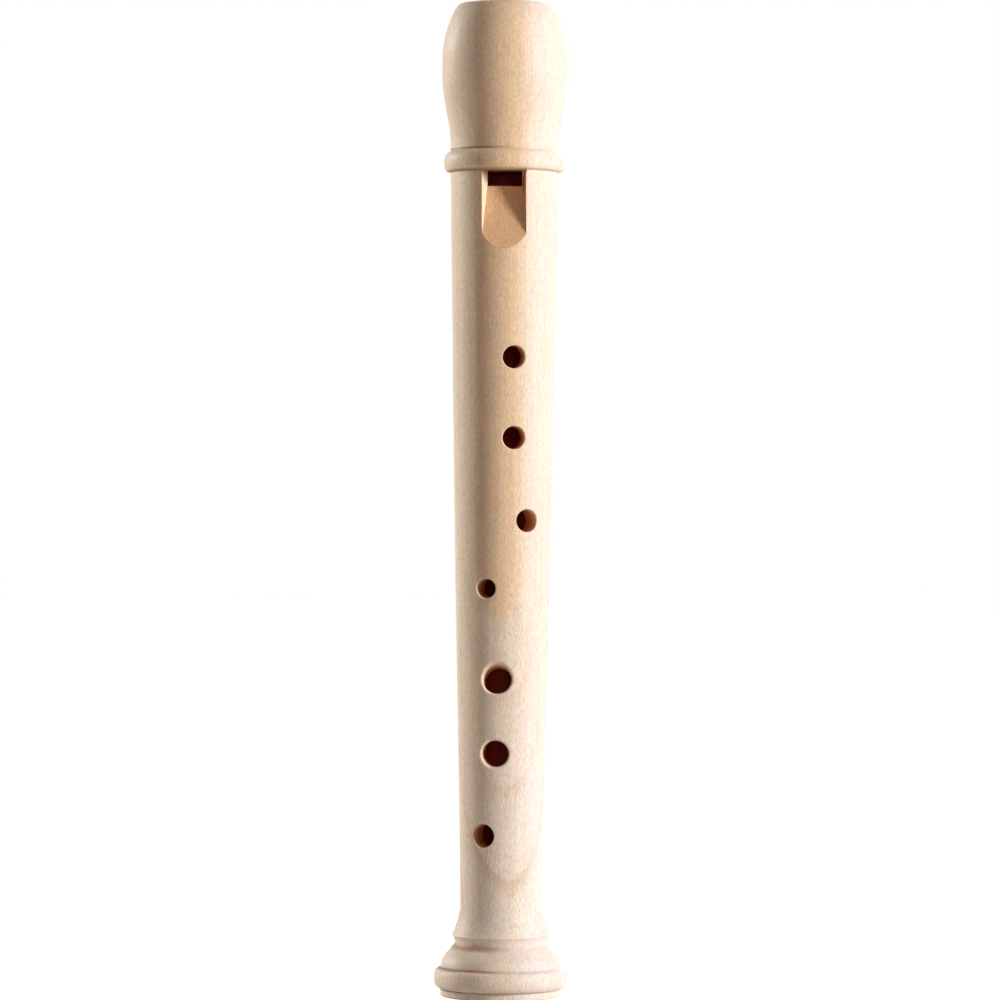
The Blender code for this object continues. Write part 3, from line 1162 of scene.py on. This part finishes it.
    def carved(self, shade: Shade) -> bpy.types.NodeSocket:
        """The colour of the window's ramp, of its left wall, painted paler as painted light where it
        faces the key light, and of its right wall, painted brown as painted shade.

        Args:
            shade: the material's nodes.

        Returns:
            The colour's link.
        """
        facing = Wire(shade, shade.node("ShaderNodeTexCoord").outputs["Normal"])
        right = Wire(shade, shade.node("ShaderNodeSeparateXYZ", sockets={0: facing}).outputs[0])
        start, end = self.wall_faces
        # Painted light on the left wall, which faces the key light; painted shade on the right wall
        ramp = shade.mix(shade.rise(right, start, end), self.cut_tan, self.cut_painted_light)
        return shade.mix(shade.rise(right, -start, -end), ramp, self.cut_painted_shade)

    def material(self, pipe: Pipe, cove: float, creases: list[float]) -> bpy.types.Material:
        """The finish.

        Args:
            pipe: the pipe, whose skin the heart's depth is measured from.
            cove: the height of the foot's cove.
            creases: the heights of the other turned creases.

        Returns:
            The material.
        """
        shade = Shade("oiled_maple")
        spot = self.spot(shade, pipe)
        lines = shade.noise(spot.place, self.line_size, 1.0)
        fleck = shade.noise(spot.place, self.fleck_size)
        grain = shade.noise(spot.place, self.grain_size)
        mottle = shade.noise(spot.place, self.mottle_size)
        depth = shade.noted(DEPTH_NOTE)
        wood = self.turned(shade, spot, lines, mottle)
        # The window's ramp, with painted light on its left wall and painted shade on its right wall
        wood = shade.mix(shade.rise(depth, 0.5 * CARVED, 0.9 * CARVED), wood, self.carved(shade))
        # Painted shade in the cove and the creases, most on the left
        wood = shade.mix(self.creases(shade, spot, cove, creases), wood, self.crease_painted_shade)
        speckle = fleck * self.fleck_contrast + grain * self.grain_contrast
        broad = lines * self.line_contrast + mottle * self.mottle_contrast
        wood = shade.scaled(wood, 1.0 + speckle + broad)
        # Painted glow and shade in the holes and the bore: orange near the mouths, then darker with
        # depth, and dark red in the bore below the head
        wood = shade.mix(shade.rise(depth, *self.glow_depth), wood, self.orange_and_painted_glow)
        wood = shade.mix(shade.rise(depth, *self.hole_shade_depth), wood, self.hole_painted_shade)
        in_head = shade.rise(spot.z, 1000 * pipe.top, 1000 * pipe.top + 1.0)
        bored = shade.mix(in_head, self.bore_painted_shade, self.orange_and_painted_glow)
        wood = shade.mix(shade.rise(depth, *self.bore_shade_depth), wood, bored)
        relief = {"Strength": 0.25, "Distance": 0.00004, "Height": fleck + grain}
        shade.feed(shade.surface, {
            "Base Color": wood,
            "Roughness": self.roughness + fleck * 0.06,
            "Normal": shade.node("ShaderNodeBump", sockets=relief).outputs[0],
            "Specular IOR Level": 0.18,
            "Subsurface Weight": 0.5,
            "Subsurface Radius": (1.0, 0.4, 0.18),
            "Subsurface Scale": 0.001,
        })
        return shade.material


@dataclass(frozen=True)
class Cedar:
    """Bare red-brown cedar, with fine straight rings."""

    early: Colour = (0.46, 0.21, 0.105)
    late: Colour = (0.27, 0.095, 0.045)
    ring_spacing: float = 0.9
    ring_slant: float = 0.25
    ring_wobble: float = 0.2
    rings_inside: float = 20.0
    late_starts: Span = (0.35, 0.95)
    wobble_size: Size = (0.004, 0.004, 0.03)
    fleck_size: Size = (0.00015, 0.00015, 0.0014)
    fleck_contrast: float = 0.35
    roughness: float = 0.68

    def material(self) -> bpy.types.Material:
        """The finish.

        Returns:
            The material.
        """
        shade = Shade("bare_cedar")
        place = shade.position()
        x, y, _ = shade.millimetres(place)
        wobble = shade.noise(place, self.wobble_size) * self.ring_wobble
        count = (y + x * self.ring_slant + wobble) / self.ring_spacing
        ring = shade.maths("FRACT", count + self.rings_inside)
        fleck = shade.noise(place, self.fleck_size)
        wood = shade.mix(shade.rise(ring, *self.late_starts), self.early, self.late)
        relief = {"Strength": 0.3, "Distance": 0.00005, "Height": fleck}
        shade.feed(shade.surface, {
            "Base Color": shade.scaled(wood, 1.0 + fleck * self.fleck_contrast),
            "Roughness": self.roughness + fleck * 0.08,
            "Normal": shade.node("ShaderNodeBump", sockets=relief).outputs[0],
        })
        return shade.material


@dataclass
class Body:
    """The body: head, pipe and foot turned in one, then bored and cut."""

    foot: Foot
    pipe: Pipe
    head: Head
    beak: Beak
    bore: Bore
    windway: Windway
    holes: list[ToneHole]
    taper_top: float
    columns: int = 224

    def billet(self) -> bpy.types.Object:
        """The turned outside with the beak's hollow carved in it.

        Returns:
            The uncut body.
        """
        head = self.head.outline()
        cornered = [point[:2] for point in head[SMOOTH_HEAD_ROWS:]]
        cornered += self.pipe.outline() + self.foot.outline(self.pipe.waist_radius)
        downwards = head[:SMOOTH_HEAD_ROWS] + [(*point, 0.0) for point in crisp(cornered)]
        rows = np.array(downwards[::-1])

        def surface(row: float, column: np.ndarray) -> np.ndarray:
            """The points round one row, from the foot up."""
            turn = 2 * np.pi * column / self.columns
            radius, height, inset = (np.interp(row, range(len(rows)), rows[:, part]) for part in range(3))
            reach = self.beak.carve(radius, inset, turn, height)
            across, behind = reach * np.cos(turn), reach * np.sin(turn)
            return np.stack([across, behind, np.full(len(turn), height)], axis=1)

        return loft("maple_body", surface, len(rows), self.columns)

    def build(self) -> bpy.types.Object:
        """The finished body.

        Returns:
            The body, riding as the frame's own.
        """
        body = self.billet()
        tools = [self.bore.cutter(self.taper_top, self.head.end)]
        tools += [self.windway.channel_cutter(self.bore), self.windway.window_cutter(self.pipe)]
        tools += [hole.cutter(self.pipe) for hole in self.holes]
        cut(body, tools)
        body.data.materials.clear()
        creases = self.head.creases + self.foot.creases
        body.data.materials.append(Maple().material(self.pipe, self.foot.cove, creases))
        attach(body, "body")
        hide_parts("body")
        return body


@dataclass
class Block:
    """The cedar block: a plug to the bore, with the windway's floor as a flat on its front."""

    bottom: float
    top: float
    bore_radius: float
    floor_depth: float
    channel_width: float
    clearance: float = 0.0001
    bevel: float = 0.0002
    edge_margin: float = 0.004

    def build(self, beak: Beak) -> bpy.types.Object:
        """The finished block.

        Args:
            beak: the beak, whose hollow it is cut back to.

        Returns:
            The block, riding as the frame's own.
        """
        radius = self.bore_radius - self.clearance
        half_width = self.channel_width / 2 - self.clearance
        edge = math.atan2(half_width, self.floor_depth)
        foot = math.asin(half_width / radius)
        margin = self.edge_margin
        turns = [edge * share for share in shares(10)][:-1]
        turns += [edge - margin, edge, edge + margin, foot - margin, foot, foot + margin]
        turns += [blend(foot, math.pi, share) for share in shares(60, 1)][1:]
        turns = np.array([-turn for turn in turns[:0:-1]][1:] + turns)
        levels = np.array([
            (self.bevel, self.bottom),
            (self.bevel * 0.3, self.bottom + self.bevel * 0.3),
            (0.0, self.bottom + self.bevel),
            (0.0, self.bottom + 2 * self.bevel),
            (0.0, self.top - 2 * self.bevel),
            (0.0, self.top),
        ])

        def surface(row: float, column: np.ndarray) -> np.ndarray:
            """The points round one level: the flat, its two walls, and the round back."""
            count = len(turns)
            wraps = 2 * np.pi * np.floor(column / count)
            spread = np.append(turns, turns[0] + 2 * np.pi)
            turn = np.interp(column % count, range(count + 1), spread) + wraps
            folded = np.abs((turn + np.pi) % (2 * np.pi) - np.pi)
            flat = self.floor_depth / np.maximum(np.cos(folded), 0.1)
            wall = half_width / np.maximum(np.sin(folded), 0.1)
            reach = np.where(folded < edge, flat, np.where(folded < foot, wall, radius))
            inset = np.interp(row, range(len(levels)), levels[:, 0])
            height = np.interp(row, range(len(levels)), levels[:, 1])
            reach = reach - inset
            return np.stack([reach * np.sin(turn), -reach * np.cos(turn), np.full(count, height)], axis=1)

        block = loft("cedar_block", surface, len(levels), len(turns))
        cut(block, [beak.cutter(self.bore_radius + OVERRUN)])
        block.data.materials.clear()
        block.data.materials.append(Cedar().material())
        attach(block, "block")
        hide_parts("block")
        return block


@dataclass
class Lamp:
    """A soft square lamp that faces the recorder."""

    name: str
    azimuth: float
    elevation: float
    power: float
    colour: Colour
    size: float = 0.35
    distance: float = 1.2

    def place(self, target: Vector) -> bpy.types.Object:
        """Sets the lamp up, at a turn from -Y towards +X and at a height above the level, in degrees.

        Args:
            target: the point that it faces.

        Returns:
            The lamp.
        """
        data = bpy.data.lights.new(self.name, "AREA")
        data.shape = "SQUARE"
        data.size = self.size
        data.energy = self.power
        data.color = self.colour
        lamp = bpy.data.objects.new(self.name, data)
        bpy.context.scene.collection.objects.link(lamp)
        turn, rise = math.radians(self.azimuth), math.radians(self.elevation)
        away = Vector((math.sin(turn) * math.cos(rise), -math.cos(turn) * math.cos(rise), math.sin(rise)))
        lamp.location = target + away * self.distance
        lamp.rotation_euler = away.to_track_quat("Z", "Y").to_euler()
        return lamp


@dataclass
class Studio:
    """The floor, the light and the camera."""

    height: float
    floor_size: float = 6.0
    camera_distance: float = 0.76
    camera_aside: float = -0.00047
    camera_height: float = 0.0825
    camera_roll: float = -0.27
    lens: float = 164.3
    surround_light: float = 0.01
    floor_colour: Colour = (0.6, 0.57, 0.54)
    floor_glow: float = 0.9
    lamps: list[Lamp] = field(default_factory=lambda: [
        Lamp("key", 64.0, 18.0, 15.9, (1.0, 0.975, 0.99), 0.3),
        Lamp("rim", -117.5, 18.0, 11.5, (1.0, 0.93, 0.855), 0.3),
        Lamp("fill", 5.0, 8.0, 0.8, (1.0, 0.62, 0.38)),
        Lamp("back", 172.0, 25.0, 6.0, (1.0, 0.97, 0.93)),
    ])

    def camera(self) -> bpy.types.Object:
        """The camera, level with the middle of the recorder.

        Returns:
            The camera, which is the scene's.
        """
        data = bpy.data.cameras.new("camera")
        data.lens = self.lens
        data.sensor_width = 36.0
        camera = bpy.data.objects.new("camera", data)
        bpy.context.scene.collection.objects.link(camera)
        camera.location = (self.camera_aside, -self.camera_distance, self.camera_height)
        camera.rotation_euler = (math.pi / 2, math.radians(self.camera_roll), 0.0)
        bpy.context.scene.camera = camera
        return camera

    def white_to_camera(self, tree: bpy.types.NodeTree) -> bpy.types.NodeSocket:
        """Tells what the camera sees, also in gloss and through glass, from the light on the object.

        Args:
            tree: the nodes that it is told to.

        Returns:
            The link that holds 1 for the first and 0 for the second.
        """
        path = tree.nodes.new("ShaderNodeLightPath")
        seen = path.outputs["Is Camera Ray"]
        for kind in ("Is Glossy Ray", "Is Transmission Ray"):
            either = tree.nodes.new("ShaderNodeMath")
            either.operation = "MAXIMUM"
            tree.links.new(seen, either.inputs[0])
            tree.links.new(path.outputs[kind], either.inputs[1])
            seen = either.outputs[0]
        return seen

    def floor(self) -> bpy.types.Object:
        """The pale floor, which shows white and keeps the recorder's shadow.

        Returns:
            The floor, which is part of the stage.
        """
        half = self.floor_size / 2
        corners = [(-half, -half, 0.0), (half, -half, 0.0), (half, half, 0.0), (-half, half, 0.0)]
        floor = new_object("floor", np.array(corners), [(0, 1, 2, 3)])
        shade = Shade("pale_floor")
        seen = Wire(shade, self.white_to_camera(shade.tree))
        shade.feed(shade.surface, {
            "Base Color": (*self.floor_colour, 1.0),
            "Roughness": 0.9,
            "Emission Strength": self.floor_glow,
            "Emission Color": shade.mix(seen, (0.0, 0.0, 0.0), (1.0, 1.0, 1.0)),
        })
        floor.data.materials.append(shade.material)
        return floor

    def world(self) -> None:
        """A white surround, which lights the recorder only dimly."""
        world = bpy.data.worlds.new("surround")
        world.use_nodes = True
        bpy.context.scene.world = world
        tree = world.node_tree
        background = tree.nodes["Background"]
        background.inputs["Color"].default_value = (1.0, 1.0, 1.0, 1.0)
        seen = self.white_to_camera(tree)
        strength = tree.nodes.new("ShaderNodeMapRange")
        strength.inputs["To Min"].default_value = self.surround_light
        tree.links.new(seen, strength.inputs["Value"])
        tree.links.new(strength.outputs["Result"], background.inputs["Strength"])

    def build(self) -> None:
        """Sets up everything round the recorder."""
        self.floor()
        self.world()
        self.camera()
        target = Vector((0.0, 0.0, self.height / 2))
        for lamp in self.lamps:
            lamp.place(target)
        bpy.context.scene.view_settings.view_transform = "Standard"


def tone_holes() -> list[ToneHole]:
    """The holes, whose heights add up from the foot.

    Returns:
        The finger holes from the foot to the head, and the thumb hole.
    """
    holes = []
    height = 0.0
    hole_painted_shade = (
        ("finger_hole_7", 0.0270, -26.2, 0.00385, 0.0, 0.00022),
        ("finger_hole_6", 0.0136, -9.2, 0.00440, 0.0, 0.00045),
        ("finger_hole_5", 0.0125, -6.5, 0.00465, 16.0, 0.00055),
        ("finger_hole_4", 0.0148, -20.9, 0.00320, 0.0, 0.00028),
        ("finger_hole_3", 0.0112, 30.4, 0.00380, 0.0, 0.0002),
        ("finger_hole_2", 0.0137, 12.6, 0.00376, 0.0, 0.0002),
        ("finger_hole_1", 0.0133, 12.0, 0.00376, 0.0, 0.0002),
    )
    for name, rise, turn, diameter, lean, mouth in hole_painted_shade:
        height += rise
        holes.append(ToneHole(name, height, turn, diameter, lean, mouth_radius=mouth))
    holes.append(ToneHole("thumb_hole", height + TOP_HOLE_TO_THUMB_HOLE, 0.0, 0.0036, side=Side.THUMB))
    return holes


def main() -> None:
    """Builds the recorder's two pieces and the studio round them."""
    logging.basicConfig(level=logging.INFO, format="%(message)s")
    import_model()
    holes = tone_holes()
    top_finger_hole = holes[-2]
    labium = top_finger_hole.height + TOP_HOLE_TO_LABIUM
    windway = Windway(labium, labium + CUT_UP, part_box("body")[1].z)
    foot = Foot()
    pipe = Pipe(foot.top, windway.window_top + WINDOW_TO_RING)
    head = Head(pipe.top, pipe.top_radius, windway.entry_depth + TIP_LIP)
    beak = Beak(head.end, head.bulb_radius)
    bore = Bore()
    body = Body(foot, pipe, head, beak, bore, windway, holes, labium - CONE_BELOW_LABIUM)
    made = body.build()
    LOG.info("%s: %d faces", made.name, len(made.data.polygons))
    block = Block(windway.window_top, head.end, bore.head_radius, windway.floor_depth, windway.width)
    made = block.build(beak)
    LOG.info("%s: %d faces", made.name, len(made.data.polygons))
    Studio(head.end).build()
    LOG.info("studio: floor, lamps and camera")


if __name__ == "__main__":
    main()
